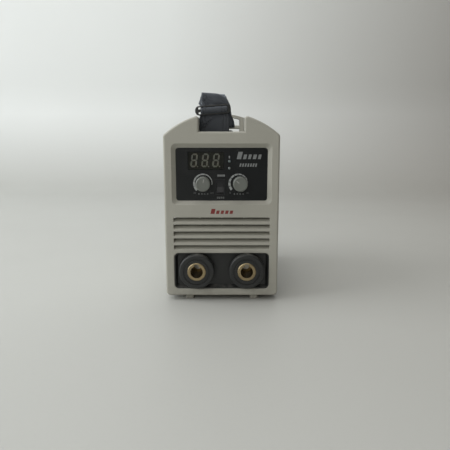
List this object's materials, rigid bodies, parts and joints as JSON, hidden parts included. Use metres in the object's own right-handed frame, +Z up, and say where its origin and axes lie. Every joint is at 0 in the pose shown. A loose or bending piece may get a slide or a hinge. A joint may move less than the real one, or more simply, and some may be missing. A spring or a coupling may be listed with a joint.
{
  "type": "stick welding inverter",
  "caption": "Compact stick welding inverter: arched frames, steel cover, control panel with display and knobs, two output sockets, fan and carrying strap.",
  "frame": {"origin": "on the floor under the middle of the whole object", "axes": "+Z up, -Y out of the control panel, +X to the right as seen from the front"},
  "size_m": [0.12, 0.215, 0.2182],
  "materials": {
    "frame_plastic": "fine moulded grain",
    "cover_paint": "fine textured powder coat",
    "galvanised_steel": "satin",
    "panel_gloss": "gloss",
    "smoked_lens": "smooth",
    "display_plastic": "matt",
    "segment_plastic": "milky",
    "led_lens": "milky",
    "circuit_board": "solder mask",
    "knob_plastic": "satin",
    "black_plastic": "satin",
    "zinc_steel": "zinc plated",
    "socket_brass": "turned, slightly dull",
    "copper": "satin",
    "webbing": "ribbed nylon weave",
    "foot_rubber": "matt",
    "heatsink_aluminium": "extruded",
    "epoxy": "moulded",
    "capacitor_sleeve": "shrink sleeve",
    "ferrite": "ground ferrite"
  },
  "bodies": {
    "casing": {"front_frame": "frame_plastic", "rear_frame": "frame_plastic", "case_cover": "cover_paint", "base_pan": "galvanised_steel", "control_panel": "panel_gloss", "display_window": "smoked_lens", "display_module": "display_plastic", "display_segments": "segment_plastic", "indicator_leds": "led_lens", "control_board": "circuit_board", "main_board": "circuit_board", "socket_panel": "black_plastic", "negative_socket_flange": "black_plastic", "positive_socket_flange": "black_plastic", "mode_switch_body": "black_plastic", "power_switch_body": "black_plastic", "fan_frame": "black_plastic", "fan_guard": "black_plastic", "cable_gland": "black_plastic", "cable_gland_dome": "black_plastic", "gland_locknut": "black_plastic", "strap_slider": "black_plastic", "potentiometer_nuts": "zinc_steel", "busbar_bolts": "zinc_steel", "front_strap_pin": "zinc_steel", "fan_screws": "zinc_steel", "ground_nuts": "zinc_steel", "cover_screws": "zinc_steel", "frame_screws": "zinc_steel", "current_potentiometer": "zinc_steel", "arc_force_potentiometer": "zinc_steel", "negative_socket_contact": "socket_brass", "positive_socket_contact": "socket_brass", "socket_nuts": "socket_brass", "ground_stud": "socket_brass", "output_busbars": "copper", "transformer_winding": "copper", "inductor_winding": "copper", "strap_bundle": "webbing", "strap_run": "webbing", "rubber_feet": "foot_rubber", "primary_heatsink": "heatsink_aluminium", "output_heatsink": "heatsink_aluminium", "igbt_transistors": "epoxy", "output_diodes": "epoxy", "bridge_rectifier": "epoxy", "power_relay": "epoxy", "heatsink_rails": "epoxy", "board_standoffs": "epoxy", "filter_capacitors": "capacitor_sleeve", "transformer_core": "ferrite", "inductor_core": "ferrite", "emi_choke": "ferrite"},
    "current_control": {"current_knob": "knob_plastic", "current_shaft": "zinc_steel"},
    "arc_force_control": {"arc_force_knob": "knob_plastic", "arc_force_shaft": "zinc_steel"},
    "mode_selector": {"mode_rocker": "black_plastic"},
    "power_selector": {"power_rocker": "black_plastic"},
    "fan_wheel": {"fan_rotor": "black_plastic"}
  },
  "joints": [
    {"name": "current_knob_turn", "type": "hinge", "parent": "casing", "child": "current_control", "pos_m": [-0.0193, -0.1, 0.1266], "axis": [0, 1, 0], "range_deg": [-150, 150]},
    {"name": "arc_force_knob_turn", "type": "hinge", "parent": "casing", "child": "arc_force_control", "pos_m": [0.0193, -0.1, 0.1266], "axis": [0, 1, 0], "range_deg": [-150, 150]},
    {"name": "mode_rocker_tip", "type": "hinge", "parent": "casing", "child": "mode_selector", "pos_m": [-0.0014, -0.0938, 0.1227], "axis": [1, 0, 0], "range_deg": [0, 16]},
    {"name": "power_rocker_tip", "type": "hinge", "parent": "casing", "child": "power_selector", "pos_m": [-0.025, 0.0814, 0.141], "axis": [1, 0, 0], "range_deg": [0, 18]},
    {"name": "fan_spin", "type": "hinge", "parent": "casing", "child": "fan_wheel", "pos_m": [0, 0.07, 0.062], "axis": [0, -1, 0], "continuous": true}
  ]
}
